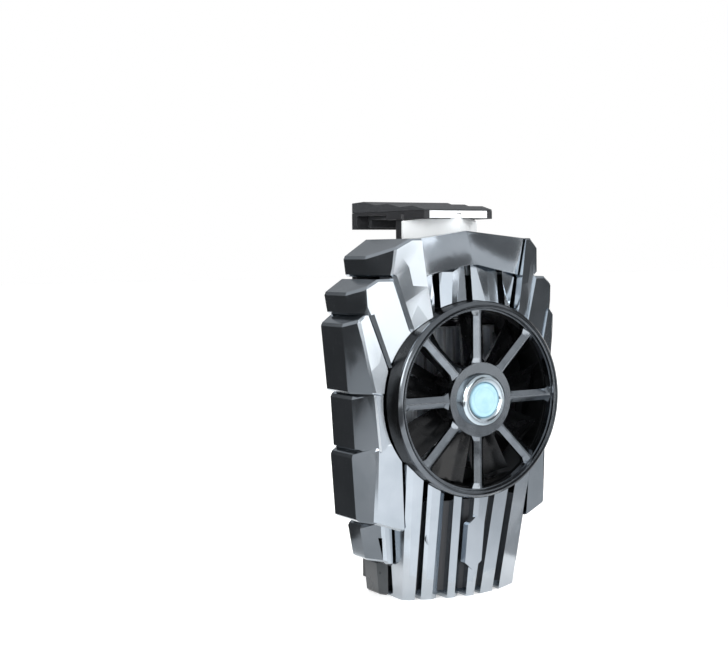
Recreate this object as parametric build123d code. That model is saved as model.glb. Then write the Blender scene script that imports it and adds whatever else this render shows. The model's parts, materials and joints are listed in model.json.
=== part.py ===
import math
import os

from build123d import *

os.makedirs("parts", exist_ok=True)

# Clip-on phone cooler with a thermoelectric plate and a small axial fan.
# Millimetres. X runs across, Z runs up the body and the fan blows along Y.
# The origin is the centre of the face that touches the phone, on the fan's
# axis. The phone lies on the +Y side and the fan faces -Y.

# Phone that the jaws hold at rest
phone_height = 71.5
phone_depth = 7.6
phone_drop = 0.5
jaw_open = 8.5
jaw_close = 3.5

# Body envelope
body_half_width = 24.9
body_top_z = 32.6
body_bottom_z = -38.9
body_depth = 19.5
back_y = -0.5
wall = 1.3

# Clearances and cuts
seat_gap = 0.1
seam_gap = 0.3
slide_gap = 0.3
press_gap = 0.02
bearing_gap = 0.03
over = 2.0

body_height = body_top_z - body_bottom_z
phone_low_z = -phone_height / 2 - phone_drop
phone_high_z = phone_low_z + phone_height

# Rear frame and the cooling stack, from the phone forwards
frame_thick = 1.8
pad_thick = 0.8
plate_side = 24.0
pad_border = 1.0
peltier_border = 2.0
peltier_thick = 3.2
ceramic_thick = 0.7
sink_side_reach = 0.2
sink_end_reach = 1.6
sink_base = 1.5
fin_height = 3.0
fin_thick = 0.7
fin_pitch = 2.3
fin_side_count = 4

pad_side = plate_side - 2 * pad_border
peltier_side = plate_side - 2 * peltier_border
sink_half_width = plate_side / 2 + sink_side_reach
sink_half_height = plate_side / 2 + sink_end_reach
sink_screw_xz = (plate_side - peltier_border) / 2
frame_y = back_y - frame_thick
plate_y = -pad_thick
peltier_y = frame_y
sink_y = peltier_y - peltier_thick
fin_y = sink_y - sink_base
fin_tip_y = fin_y - fin_height

# Fan
fan_ear_pitch = 29.0
fan_ear_r = 2.6
fan_ear_thick = 2.0
duct_r = 17.0
duct_wall = 1.0
strut_thick = 1.0
strut_width = 2.2
motor_base_r = 6.2
motor_base_thick = 0.8
fan_depth = 6.8
impeller_r = 16.5
hub_r = 6.8
hub_wall = 0.8
magnet_thick = 0.8
shaft_r = 0.75
sleeve_wall = 0.6
tube_wall = 0.6
blade_count = 9
blade_thick = 0.7
blade_root_chord = 5.0
blade_tip_chord = 7.6
blade_root_pitch = 42.0
blade_tip_pitch = 27.0
blade_camber = 0.55
pole_count = 4

fan_y = fin_tip_y - slide_gap
duct_front_y = fan_y - fan_depth
tube_r = shaft_r + bearing_gap + sleeve_wall + press_gap + tube_wall
blade_rear_y = fan_y - strut_thick - 2 * slide_gap
rotor_front_y = duct_front_y + seat_gap

# Guard and ring
guard_gap = 0.35
guard_thick = 1.4
guard_rim_r = 18.1
guard_rim_wall = 0.8
guard_hub_r = 7.2
spoke_count = 8
spoke_width = 2.2
spoke_foot_width = 3.6
spoke_foot_reach = 1.5
spoke_rise = 0.75
spoke_ridge_share = 0.14
spoke_bevel = 0.4
ring_r = 19.06
ring_inner_r = 17.55
ring_height = 3.6
trim_height = 1.0
trim_stand = 0.75
trim_groove = 0.35

guard_y = rotor_front_y - guard_gap
guard_front_y = guard_y - guard_thick
trim_front_y = guard_front_y - trim_stand
trim_rear_y = trim_front_y + trim_height
ring_rear_y = trim_rear_y + ring_height

# Stepped armour: seven tiers from the shoulder down to the foot. Heights are
# shares of the body's height, widths of its half width, depths of its depth.
tier_top_shares = (0.931, 0.835, 0.752, 0.557, 0.400, 0.196, 0.095)
tier_low_shares = (0.878, 0.778, 0.568, 0.412, 0.221, 0.102, 0.000)
tier_top_width_shares = (0.789, 0.967, 1.000, 0.920, 0.924, 0.773, 0.622)
tier_low_width_shares = (0.768, 0.937, 0.949, 0.894, 0.887, 0.723, 0.600)
tier_top_front_shares = (0.683, 0.880, 0.936, 0.839, 0.815, 0.663, 0.530)
tier_low_front_shares = (0.699, 0.871, 0.843, 0.791, 0.819, 0.640, 0.505)
tier_top_depth_shares = (0.769, 0.677, 0.636, 0.697, 0.680, 0.470, 0.490)
tier_low_depth_shares = (0.744, 0.682, 0.708, 0.697, 0.651, 0.460, 0.475)
tier_top_inner_shares = (0.890, 0.820, 0.810, 0.790, 0.800, 0.510, 0.490)
tier_low_inner_shares = (0.880, 0.820, 0.800, 0.780, 0.765, 0.495, 0.475)
tier_ridge_shares = (0.436, 0.436, 0.436, 0.436, 0.436, 0.256, 0.256)
# Where each tier's lower edge ends at the ring or at the column
tier_end_width_shares = (0.570, 0.731, 0.763, 0.671, 0.618, 0.610, 0.480)
tier_end_height_shares = (0.736, 0.631, 0.565, 0.443, 0.197, 0.091, 0.000)
tier_count = len(tier_top_shares)
tier_slope = 33.0
tier_inner_width = 12.0
shoulder_z = 31.1
lid_z = 29.8

# Crown and column covers along the middle
crown_half_width = 12.15
crown_low_half_width = 11.15
crown_end_half_width = 9.7
crown_low_z = 23.9
crown_end_z = 17.0
crown_rear_y = -13.0
crown_peak_y = -14.3
crown_corner_y = -16.7
crown_low_peak_y = -16.9
crown_low_corner_y = -16.1
crown_low_peak_z = 26.2
column_top_z = -11.0
column_top_half_width = 15.2
column_low_half_width = 13.5
column_top_corner_y = -16.8
column_low_corner_y = -12.0
column_shoulder_share = 0.5
column_top_shoulder_y = -18.9
column_low_shoulder_y = -14.6
column_top_peak_y = -19.4
column_low_peak_y = -15.6
column_rear_y = -8.0
cover_wall = 1.4
# Folded wall under the crown, with a slot in each of its valleys
fold_top_y = -14.4
fold_end_y = -15.4
fold_pitch = 7.65
fold_rise = 0.85
fold_chamfer = 0.7
fold_slot_width = 1.5
# Slots of the column: left edge and right edge, at the top and at the foot,
# and the widths of the slanted walls on their left and right
column_slots = (
    (-12.0, -10.9, -11.45, -10.25, 0, 0.9),
    (-7.1, -5.8, -6.9, -5.45, 1.6, 0),
    (-2.55, -1.15, -2.35, -1.35, 1.5, 0),
    (2.45, 4.05, 0.45, 2.15, 0, 0),
    (7.4, 9.6, 5.5, 7.5, 0, 0),
)
slot_top_z = -17.0
slot_left_depth = 1.3
slot_right_depth = 0.45
column_edge = 0.9
hexagon_left_x = -2.8
hexagon_right_x = 1.1
hexagon_top_z = -22.6
hexagon_low_z = -33.4
hexagon_point = 1.6
hexagon_rise = 0.8

# Sliding upper jaw
tongue_half_width = 8.6
tongue_thick = 2.4
tongue_low_z = 16.2
ear_half_width = 10.8
ear_height = 2.2
stem_half_width = 9.0
stem_low_z = 23.9
stem_side_y = -5.7
stem_ridge_y = -12.2
stem_side_top_z = 34.7
stem_ridge_top_z = 36.0
stem_skin = 0.7
hook_front_y = -11.9
hook_rear_y = 10.4
hook_front_half_width = 8.1
hook_rear_half_width = 11.0
hook_plate_top_z = 36.6
hook_front_low_z = 35.0
hook_lip_reach = 2.0
hook_lip_thick = 1.6
pad_lining = 0.7
grip_front_top_z = 37.1
grip_rear_top_z = 38.9
grip_bump = 0.5
grip_bump_count = 3
trim_thick = 0.7
trim_half_width = 6.9
spring_x = 4.6
spring_slot_width = 3.0
spring_outer_r = 1.15
spring_wire = 0.35
spring_post_r = 0.5
spring_post_z = 13.7
spring_top_z = 30.8
rail_thick = 1.4
rail_lip = 0.9
rail_low_z = 14.0
rail_lip_top_z = 20.0

tongue_rear_y = frame_y - slide_gap
tongue_front_y = tongue_rear_y - tongue_thick

# Fixed lower jaw
lower_half_width = 9.2
lower_leg_half_width = 13.4
lower_leg_thick = 2.0
lower_leg_top_z = -31.0
lower_lip_top_z = -34.2

# Screws
cover_screw_r = 0.8
cover_screw_head_r = 1.6
cover_screw_head = 0.8
cover_boss_r = 1.7
upper_boss_inset = 4.7
upper_boss_z = 8.5
lower_boss_inset = 5.7
lower_boss_z = -16.6
column_boss_left_x = -8.9
column_boss_right_x = 10.9
lower_screw_x = 9.4
column_boss_z = -26.5
boss_front_y = -11.0
fan_screw_r = 0.8
fan_screw_head_r = 1.5
fan_boss_r = 2.2
sink_screw_r = 0.6
sink_screw_head_r = 1.2
sink_screw_head = 0.8

# Electrics
board_thick = 1.0
board_half_width = 7.2
board_top_z = -15.5
board_low_z = -37.0
board_post_x = 6.0
board_post_z = -20.0
board_post_r = 1.5
port_width = 8.9
port_depth = 3.2
port_length = 7.3
port_wall = 0.3
port_round = 1.5
port_tongue = 0.7

board_y = frame_y - lower_leg_thick - 3 * seat_gap
port_low_z = body_bottom_z + 0.5 * wall


def block(x0, x1, y0, y1, z0, z1):
    """Box between two corners."""
    size = (abs(x1 - x0), abs(y1 - y0), abs(z1 - z0))
    centre = ((x0 + x1) / 2, (y0 + y1) / 2, (z0 + z1) / 2)
    return Pos(*centre) * Box(*size)


def rod(radius, y0, y1, x=0, z=0):
    """Cylinder along Y."""
    return Pos(x, (y0 + y1) / 2, z) * Rot(90, 0, 0) * Cylinder(radius, abs(y1 - y0))


def tube(outer, inner, y0, y1, x=0, z=0):
    """Hollow cylinder along Y."""
    return rod(outer, y0, y1, x, z) - rod(inner, y0 + over, y1 - over, x, z)


def section(points, z):
    """Polygon in a level plane."""
    return Face(Wire.make_polygon([(x, y, z) for x, y in points]))


def outline(points, y_rear, y_front):
    """Prism along Y from an outline in X and Z."""
    face = Face(Wire.make_polygon([(x, y_rear, z) for x, z in points]))
    return extrude(face, amount=abs(y_front - y_rear), dir=(0, -1, 0))


def save(shape, name):
    solids = shape.solids() if hasattr(shape, "solids") else ShapeList(shape)
    export_step(Compound(children=list(solids)) if len(solids) > 1 else solids[0], f"parts/{name}.step")


def join(parts):
    """Fuse a list of parts."""
    whole = parts[0]
    for part in parts[1:]:
        whole = whole + part
    return whole


def height(share):
    return body_bottom_z + share * body_height


def blend(low, top, z_low, z_top, z):
    """Value at z on the straight line between two levels."""
    return low + (top - low) * (z - z_low) / (z_top - z_low)


# Armour tiers
def tier_section(tier, z, inset):
    """Plan of half a tier at one level, moved inwards by the inset."""
    z_low = height(tier_low_shares[tier])
    z_top = height(tier_top_shares[tier])

    def at(low_shares, top_shares, scale):
        return scale * blend(low_shares[tier], top_shares[tier], z_low, z_top, z)

    side = at(tier_low_width_shares, tier_top_width_shares, body_half_width) - inset
    front = at(tier_low_front_shares, tier_top_front_shares, body_half_width) - inset / 2
    front_y = inset - at(tier_low_depth_shares, tier_top_depth_shares, body_depth)
    inner_y = inset - at(tier_low_inner_shares, tier_top_inner_shares, body_depth)
    ridge_y = inset / 2 - body_depth * tier_ridge_shares[tier]
    middle_y = front_y + (inner_y - front_y) * front / (front - tier_inner_width)
    points = [(0, back_y), (side, back_y), (side, ridge_y), (front, front_y), (0, middle_y)]
    return section(points, z)


def tier_outline(tier):
    """Front outline of half a tier, with its sloping shoulder."""
    z_low = height(tier_low_shares[tier])
    z_top = height(tier_top_shares[tier])
    side = body_half_width * tier_top_width_shares[tier]
    front = body_half_width * tier_low_front_shares[tier]
    end_x = body_half_width * tier_end_width_shares[tier]
    end_z = height(tier_end_height_shares[tier])
    rise = math.tan(math.radians(tier_slope))
    crest_z = shoulder_z if tier == 0 else z_top + wall / 2 + over
    crest_x = side - (crest_z - z_top) / rise
    points = [
        (0, crest_z),
        (crest_x, crest_z),
        (side + over, z_top - over * rise),
        (side + over, z_low),
        (front, z_low),
        (end_x, end_z),
        (0, end_z),
    ]
    return points, min(z_low, end_z), crest_z


def tier_solid(tier):
    points, z_min, z_max = tier_outline(tier)
    form = loft([tier_section(tier, z_min, 0), tier_section(tier, z_max, 0)], ruled=True)
    return form & outline(points, over, -body_depth - over)


def tier_cavity(tier, inset):
    """Hollow of half a tier, which runs on into the narrower of its neighbours."""
    z_low = height(tier_low_shares[tier])
    z_top = height(tier_top_shares[tier]) - wall / 2
    if tier == 0:
        z_top = lid_z - inset + wall
    elif tier_low_width_shares[tier - 1] > tier_top_width_shares[tier]:
        z_top = height(tier_low_shares[tier - 1]) + 2 * wall
    if tier == tier_count - 1:
        z_low = body_bottom_z
    elif tier_low_width_shares[tier] > tier_top_width_shares[tier + 1]:
        z_low = z_low + inset
    else:
        z_low = height(tier_top_shares[tier + 1]) - wall
    form = loft([tier_section(tier, z_low, inset), tier_section(tier, z_top, inset)], ruled=True)
    if tier > 0:
        return form
    side = body_half_width * tier_top_width_shares[0] - inset
    rise = math.tan(math.radians(tier_slope))
    bevel_z = height(tier_top_shares[0]) - inset / 2
    crest_x = side - (z_top - bevel_z) / rise
    corner = [(0, z_top), (crest_x, z_top), (side, bevel_z), (side, z_low), (0, z_low)]
    return form & outline(corner, over, -body_depth - over)


def middle_zone(gap, y_rear):
    """Room that the crown and the column take between the side covers."""
    crown = [
        (-crown_half_width - gap, body_top_z + over),
        (-crown_half_width - gap, shoulder_z),
        (-crown_low_half_width - gap, crown_low_z),
        (-crown_end_half_width - gap, crown_end_z - over),
        (crown_end_half_width + gap, crown_end_z - over),
        (crown_low_half_width + gap, crown_low_z),
        (crown_half_width + gap, shoulder_z),
        (crown_half_width + gap, body_top_z + over),
    ]
    column = [
        (-column_top_half_width - gap, column_top_z),
        (-column_low_half_width - gap, body_bottom_z - over),
        (column_low_half_width + gap, body_bottom_z - over),
        (column_top_half_width + gap, column_top_z),
    ]
    return outline(crown, y_rear, -body_depth - over) + outline(column, y_rear, -body_depth - over)


def boss(x, z, y_front):
    """Screw boss on the inside of a cover."""
    return rod(cover_boss_r, frame_y - seat_gap, y_front, x, z)


side_boss_places = [
    (body_half_width - upper_boss_inset, upper_boss_z),
    (body_half_width - lower_boss_inset, lower_boss_z),
]
column_boss_places = [(column_boss_left_x, column_boss_z), (column_boss_right_x, column_boss_z)]
cover_screw_places = column_boss_places + [(s * x, z) for x, z in side_boss_places for s in (-1, 1)]

groove_width = 0.35
groove_depth = 0.45


def tier_groove(tier):
    """Narrow groove along the front of a tier's lower edge."""
    z_low = height(tier_low_shares[tier])
    front = body_half_width * tier_low_front_shares[tier]
    end_x = body_half_width * tier_end_width_shares[tier]
    end_z = height(tier_end_height_shares[tier])
    strip = [(front, z_low), (end_x, end_z), (end_x - groove_width, end_z), (front - groove_width, z_low)]
    next_z = height(tier_low_shares[tier + 1])
    top_z = height(tier_top_shares[tier])
    core = loft([tier_section(tier + 1, z, groove_depth) for z in (next_z - over, top_z)], ruled=True)
    return outline(strip, over, -body_depth - over) - core


fan_boss_xz = fan_ear_pitch / 2
fan_head_y = fan_y - fan_ear_thick - fan_screw_head_r / 2
ear_rooms = join([
    rod(fan_ear_r + slide_gap, over, fan_head_y - slide_gap, side * fan_boss_xz, -fan_boss_xz)
    for side in (-1, 1)
])
ring_hole = rod(ring_r + seat_gap, ring_rear_y + over, -body_depth - over)
ring_wall_hole = rod(ring_r + seat_gap, boss_front_y - seat_gap, -body_depth - over)

armour = join([tier_solid(tier) for tier in range(tier_count)])
hollow = join([tier_cavity(tier, wall) for tier in range(tier_count)])
hollow = hollow - middle_zone(seam_gap + wall, crown_rear_y)
for tier in range(2):
    armour = armour - tier_groove(tier)
side_cover = armour - hollow - middle_zone(seam_gap, over) - ring_wall_hole - ear_rooms
for boss_x, boss_z in side_boss_places:
    side_cover = side_cover + (boss(boss_x, boss_z, boss_front_y) & armour)
    side_cover = side_cover - rod(cover_screw_r, over, boss_front_y + wall, boss_x, boss_z)
side_cover = side_cover - block(
    -over, crown_end_half_width / 2, over, -body_depth - over, body_bottom_z - over, body_top_z + over)
side_cover = max(side_cover.solids(), key=lambda solid: solid.volume)
save(side_cover, "side_cover_right")
save(side_cover.mirror(Plane.YZ), "side_cover_left")


# Crown cover: two curved panels that meet in a ridge, over a folded wall
def crown_panel(side, shift, inset, rear_y):
    """Prism behind one panel, from the ridge to the side."""
    ridge = [(crown_peak_y, body_top_z - inset), (crown_low_peak_y, crown_low_peak_z + inset)]
    edge = [(crown_corner_y, shoulder_z - inset), (crown_low_corner_y, crown_low_z + inset)]
    widths = [crown_half_width - inset, crown_low_half_width - inset]
    inner = [(0, y + shift, z) for y, z in ridge]
    outer = [(side * x, y + shift, z) for x, (y, z) in zip(widths, edge)]
    plans = []
    for top, low in (inner, outer):
        plans.append(Face(Wire.make_polygon([top, low, (low[0], rear_y, low[2]), (top[0], rear_y, top[2])])))
    return loft(plans, ruled=True)


crown = crown_panel(-1, 0, 0, crown_rear_y) + crown_panel(1, 0, 0, crown_rear_y)
for side in (-1, 1):
    crown = crown - crown_panel(side, cover_wall, wall, crown_rear_y + over)


def fold_plan(z):
    """Plan of the folded wall, whose ridges stand between the valleys."""
    valley_y = blend(fold_end_y, fold_top_y, crown_end_z, crown_low_peak_z, z)
    half = blend(crown_end_half_width, crown_low_half_width, crown_end_z, crown_low_z, z)
    points = [(-half, crown_rear_y), (half, crown_rear_y), (half, valley_y - fold_rise / 2)]
    for fold in (3, 2, 1, 0, -1, -2, -3):
        x = fold * fold_pitch / 2
        if abs(x) < half:
            points.append((x, valley_y - (fold_rise if fold % 2 else 0)))
    points.append((-half, valley_y - fold_rise / 2))
    return section(points, z)


fold_wall = loft([fold_plan(crown_end_z), fold_plan(crown_low_peak_z)], ruled=True)
fold_edge = fold_top_y + fold_chamfer - fold_rise
fold_side = Face(Wire.make_polygon([
    (0, crown_rear_y + over, 0),
    (0, crown_rear_y + over, crown_low_peak_z + seat_gap),
    (0, fold_edge, crown_low_peak_z + seat_gap),
    (0, fold_edge - over, crown_low_peak_z + seat_gap - over),
    (0, fold_edge - over, 0),
]))
fold_room = None
for side in (-1, 1):
    slope = (side * crown_low_half_width, 0, crown_low_z - crown_low_peak_z)
    half_room = extrude(fold_side, amount=body_half_width, dir=slope)
    fold_room = half_room if fold_room is None else fold_room + half_room
fold_wall = fold_wall & fold_room
for place in (-1, 0, 1):
    slot_x = place * fold_pitch
    fold_wall = fold_wall - block(
        slot_x - fold_slot_width / 2, slot_x + fold_slot_width / 2, crown_rear_y + over, -body_depth - over,
        crown_end_z - over, crown_low_peak_z + over)
crown = crown + fold_wall - ring_hole
crown = max(crown.solids(), key=lambda solid: solid.volume)
save(crown, "crown_cover")


# Column cover
def column_section(z, inset):
    def at(low, top):
        return blend(low, top, body_bottom_z, column_top_z, z)

    half = at(column_low_half_width, column_top_half_width) - inset
    shoulder = half * column_shoulder_share
    corner_y = at(column_low_corner_y, column_top_corner_y) + inset
    shoulder_y = at(column_low_shoulder_y, column_top_shoulder_y) + inset
    peak_y = at(column_low_peak_y, column_top_peak_y) + inset
    points = [
        (-half, column_rear_y + inset),
        (half, column_rear_y + inset),
        (half, corner_y + column_edge),
        (half - column_edge, corner_y),
        (shoulder, shoulder_y),
        (0, peak_y),
        (-shoulder, shoulder_y),
        (column_edge - half, corner_y),
        (-half, corner_y + column_edge),
    ]
    return section(points, z)


def column_front_y(x, z):
    """Y of the column's face at a place."""
    half = blend(column_low_half_width, column_top_half_width, body_bottom_z, column_top_z, z)
    shoulder = half * column_shoulder_share
    corner_y = blend(column_low_corner_y, column_top_corner_y, body_bottom_z, column_top_z, z)
    shoulder_y = blend(column_low_shoulder_y, column_top_shoulder_y, body_bottom_z, column_top_z, z)
    peak_y = blend(column_low_peak_y, column_top_peak_y, body_bottom_z, column_top_z, z)
    if abs(x) < shoulder:
        return peak_y + (shoulder_y - peak_y) * abs(x) / shoulder
    return shoulder_y + (corner_y - shoulder_y) * (abs(x) - shoulder) / (half - shoulder)


column = loft([column_section(body_bottom_z, 0), column_section(column_top_z, 0)], ruled=True)
column_room = loft([column_section(body_bottom_z + wall, cover_wall), column_section(column_top_z, cover_wall)], ruled=True)
column_floor = outline(
    [(-lower_leg_half_width, body_bottom_z), (lower_leg_half_width, body_bottom_z),
     (lower_leg_half_width, body_bottom_z + wall), (-lower_leg_half_width, body_bottom_z + wall)],
    frame_y - lower_leg_thick - 2 * seat_gap, column_rear_y,
)
column = column - column_room + column_floor
column = column - rod(ring_r + seat_gap, column_rear_y + over, -body_depth - over)
hexagon_x = (hexagon_left_x + hexagon_right_x) / 2
hexagon = outline(
    [(hexagon_x, hexagon_top_z),
     (hexagon_right_x, hexagon_top_z - hexagon_point),
     (hexagon_right_x, hexagon_low_z + hexagon_point),
     (hexagon_x, hexagon_low_z),
     (hexagon_left_x, hexagon_low_z + hexagon_point),
     (hexagon_left_x, hexagon_top_z - hexagon_point)],
    over, -body_depth - over,
)


def hexagon_section(z):
    front = column_front_y(hexagon_x, z)
    points = [
        (hexagon_left_x, front - hexagon_rise),
        (hexagon_right_x, front - hexagon_rise),
        (hexagon_right_x, front + cover_wall / 2),
        (hexagon_left_x, front + cover_wall / 2),
    ]
    return section(points, z)


def slot_section(left, right, left_slant, right_slant, z):
    """Plan of a slot, with the slanted walls on its sides."""
    wall_x = left - left_slant
    edge_x = right + right_slant
    return section([
        (wall_x, column_front_y(wall_x, z) - over),
        (wall_x, column_front_y(wall_x, z) - press_gap),
        (left, column_front_y(left, z) + slot_left_depth),
        (left, column_front_y(left, z) + 2 * over),
        (right, column_front_y(right, z) + 2 * over),
        (right, column_front_y(right, z) + slot_right_depth),
        (edge_x, column_front_y(edge_x, z) - press_gap),
        (edge_x, column_front_y(edge_x, z) - over),
    ], z)


for top_left, top_right, low_left, low_right, left_slant, right_slant in column_slots:
    plans = []
    for z in (body_bottom_z - over, column_top_z + over):
        left = blend(low_left, top_left, body_bottom_z, slot_top_z, z)
        right = blend(low_right, top_right, body_bottom_z, slot_top_z, z)
        plans.append(slot_section(left, right, left_slant, right_slant, z))
    column = column - loft(plans, ruled=True)
column = column + (loft([hexagon_section(hexagon_low_z), hexagon_section(hexagon_top_z)], ruled=True) & hexagon)
for boss_x, boss_z in column_boss_places:
    post = rod(cover_boss_r, frame_y - seat_gap, column_front_y(boss_x, boss_z) + cover_wall / 2, boss_x, boss_z)
    column = column + post - rod(cover_screw_r, over, boss_front_y, boss_x, boss_z)
column = column - ear_rooms
port_mouth = block(
    -port_width / 2 - seat_gap, port_width / 2 + seat_gap,
    board_y - board_thick, board_y - board_thick - port_depth - 2 * seat_gap,
    body_bottom_z - over, body_bottom_z + wall + over,
)
column = column - port_mouth
column = max(column.solids(), key=lambda solid: solid.volume)
save(column, "column_cover")

# Black liner that closes the column's slots from behind
liner_thick = 0.8
liner_low_z = body_bottom_z + wall + seat_gap
liner_top_z = -ring_r - seat_gap - slide_gap
liner_outer = cover_wall + press_gap
liner = loft([column_section(z, liner_outer) for z in (liner_low_z, liner_top_z)], ruled=True)
liner = liner - loft(
    [column_section(z, liner_outer + liner_thick) for z in (liner_low_z - over, liner_top_z + over)], ruled=True)
liner = liner & block(
    -body_half_width, body_half_width, column_rear_y - seat_gap, -body_depth, liner_low_z, liner_top_z)
for boss_x, boss_z in column_boss_places:
    liner = liner - rod(cover_boss_r + seat_gap, over, -body_depth - over, boss_x, boss_z)
liner = max(liner.solids(), key=lambda solid: solid.volume)
save(liner, "vent_liner")

# Rear frame
frame_room = join([tier_cavity(tier, wall + seat_gap) for tier in range(tier_count)])
half_plate = frame_room & block(
    0, body_half_width, back_y, frame_y, phone_low_z - seat_gap - pad_lining, body_top_z)
rear = half_plate + half_plate.mirror(Plane.YZ)
rear = rear - block(
    -plate_side / 2 - seat_gap, plate_side / 2 + seat_gap, over, frame_y - over,
    -plate_side / 2 - seat_gap, plate_side / 2 + seat_gap)
for boss_x in (-fan_boss_xz, fan_boss_xz):
    for boss_z in (-fan_boss_xz, fan_boss_xz):
        rear = rear + rod(fan_boss_r, frame_y, fan_y, boss_x, boss_z)
        rear = rear - rod(fan_screw_r - press_gap, fan_y + fan_depth / 2, fan_y - over, boss_x, boss_z)
for side in (-1, 1):
    rear = rear + rod(board_post_r, frame_y, board_y, side * board_post_x, board_post_z)
    rear = rear + rod(spring_post_r, frame_y, tongue_front_y, side * spring_x, spring_post_z)
    edge = ear_half_width + slide_gap
    rear = rear + block(
        side * edge, side * (edge + rail_thick), frame_y, tongue_front_y - slide_gap - rail_lip, rail_low_z, lid_z - seat_gap)
    rear = rear + block(
        side * (ear_half_width - rail_thick), side * (edge + rail_thick),
        tongue_front_y - slide_gap, tongue_front_y - slide_gap - rail_lip, rail_low_z, rail_lip_top_z)
    rear = rear + block(
        side * (stem_half_width + slide_gap), side * (edge + rail_thick), frame_y, tongue_front_y,
        tongue_low_z + ear_height + jaw_open + slide_gap, lid_z - seat_gap)
lid = block(
    -crown_half_width + seat_gap, crown_half_width - seat_gap, frame_y, crown_rear_y + seat_gap, lid_z - wall, lid_z)


def stem_plan(side_gap, front_shift):
    """Plan of the stem, whose two slopes run on past its sides by the gap."""
    half = stem_half_width + side_gap
    side_y = stem_ridge_y + (stem_side_y - stem_ridge_y) * half / stem_half_width + front_shift
    return [
        (-half, tongue_rear_y),
        (half, tongue_rear_y),
        (half, side_y),
        (0, stem_ridge_y + front_shift),
        (-half, side_y),
    ]


def stem_prism(side_gap, front_shift, z_low, z_top):
    return loft([section(stem_plan(side_gap, front_shift), z) for z in (z_low, z_top)], ruled=True)


stem_room = stem_prism(slide_gap, -slide_gap, lid_z - wall - over, lid_z + over)
stem_room = stem_room + block(
    -stem_half_width - slide_gap, stem_half_width + slide_gap, frame_y - seat_gap, tongue_front_y,
    lid_z - wall - over, lid_z + over)
rear = rear + (lid - stem_room)
for screw_x, screw_z in cover_screw_places:
    rear = rear - rod(cover_screw_r, over, frame_y - over, screw_x, screw_z)
    rear = rear - rod(cover_screw_head_r, over, back_y - cover_screw_head, screw_x, screw_z)
lower_screw_z = (lower_leg_top_z + phone_low_z) / 2
for side in (-1, 1):
    rear = rear - rod(cover_screw_r, over, frame_y - over, side * lower_screw_x, lower_screw_z)
    rear = rear - rod(cover_screw_head_r, over, back_y - cover_screw_head, side * lower_screw_x, lower_screw_z)
rear = max(rear.solids(), key=lambda solid: solid.volume)
save(rear, "rear_frame")


# Screws
def screw(x, z, y_head, y_tip, radius, head_r, head):
    """Pan-head screw with its head on the +Y side and a cross recess."""
    direction = 1 if y_head > y_tip else -1
    body = rod(head_r, y_head, y_head - direction * head, x, z)
    body = body + rod(radius, y_head - direction * head, y_tip, x, z)
    reach = head_r * 0.6
    slot = head / 2
    for wide, tall in ((reach, reach / 4), (reach / 4, reach)):
        body = body - block(x - wide, x + wide, y_head + direction * over, y_head - direction * slot, z - tall, z + tall)
    return body


cover_screws = [
    screw(x, z, back_y - press_gap, boss_front_y + wall + seat_gap,
          cover_screw_r - press_gap, cover_screw_head_r - seat_gap, cover_screw_head - press_gap)
    for x, z in cover_screw_places
]
save(cover_screws, "cover_screws")
lower_screws = [
    screw(side * lower_screw_x, lower_screw_z, back_y - press_gap, frame_y - lower_leg_thick + slide_gap,
          cover_screw_r - press_gap, cover_screw_head_r - seat_gap, cover_screw_head - press_gap)
    for side in (-1, 1)
]
save(lower_screws, "lower_jaw_screws")
fan_screws = [
    screw(sx * fan_boss_xz, sz * fan_boss_xz, fan_head_y, fan_y + fan_depth / 2 - seat_gap,
          fan_screw_r - 2 * press_gap, fan_screw_head_r, fan_screw_head_r / 2)
    for sx in (-1, 1) for sz in (-1, 1)
]
save(fan_screws, "fan_screws")
sink_screws = [
    screw(sx * sink_screw_xz, sz * sink_screw_xz, fin_y - sink_screw_head, plate_y - plate_y / 2 + frame_y / 2,
          sink_screw_r - press_gap, sink_screw_head_r, sink_screw_head)
    for sx in (-1, 1) for sz in (-1, 1)
]
save(sink_screws, "heatsink_screws")

# Cooling stack
contact = block(-pad_side / 2, pad_side / 2, 0, plate_y, -pad_side / 2, pad_side / 2)
contact = fillet(contact.edges().filter_by(Axis.Y), pad_thick)
save(contact, "contact_pad")
plate = block(-plate_side / 2, plate_side / 2, plate_y, frame_y, -plate_side / 2, plate_side / 2)
plate = fillet(plate.edges().filter_by(Axis.Y), pad_thick)
sink = block(-sink_half_width, sink_half_width, sink_y, fin_y, -sink_half_height, sink_half_height)
for fin in range(-fin_side_count, fin_side_count + 1):
    fin_x = fin * fin_pitch
    sink = sink + block(fin_x - fin_thick / 2, fin_x + fin_thick / 2, fin_y, fin_tip_y, -sink_half_height, sink_half_height)
for sx in (-1, 1):
    for sz in (-1, 1):
        plate = plate - rod(sink_screw_r, plate_y - plate_y / 2 + frame_y / 2 + seat_gap, frame_y - over, sx * sink_screw_xz, sz * sink_screw_xz)
        sink = sink - rod(sink_screw_r, sink_y + over, fin_y - over, sx * sink_screw_xz, sz * sink_screw_xz)
save(plate, "cold_plate")
save(sink, "heatsink")

pellet_count = 6
pellet_side = 1.6
pellet_pitch = peltier_side / pellet_count
half_side = peltier_side / 2
peltier = block(-half_side, half_side, peltier_y, peltier_y - ceramic_thick, -half_side, half_side)
peltier = peltier + block(-half_side, half_side, sink_y + ceramic_thick, sink_y, -half_side, half_side)
pellets = []
for column_index in range(pellet_count):
    for row_index in range(pellet_count):
        pellet_x = (column_index + 0.5) * pellet_pitch - half_side
        pellet_z = (row_index + 0.5) * pellet_pitch - half_side
        pellets.append(block(
            pellet_x - pellet_side / 2, pellet_x + pellet_side / 2, peltier_y - ceramic_thick, sink_y + ceramic_thick,
            pellet_z - pellet_side / 2, pellet_z + pellet_side / 2))
peltier = peltier.fuse(*pellets)
save(peltier, "peltier_module")

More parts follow.
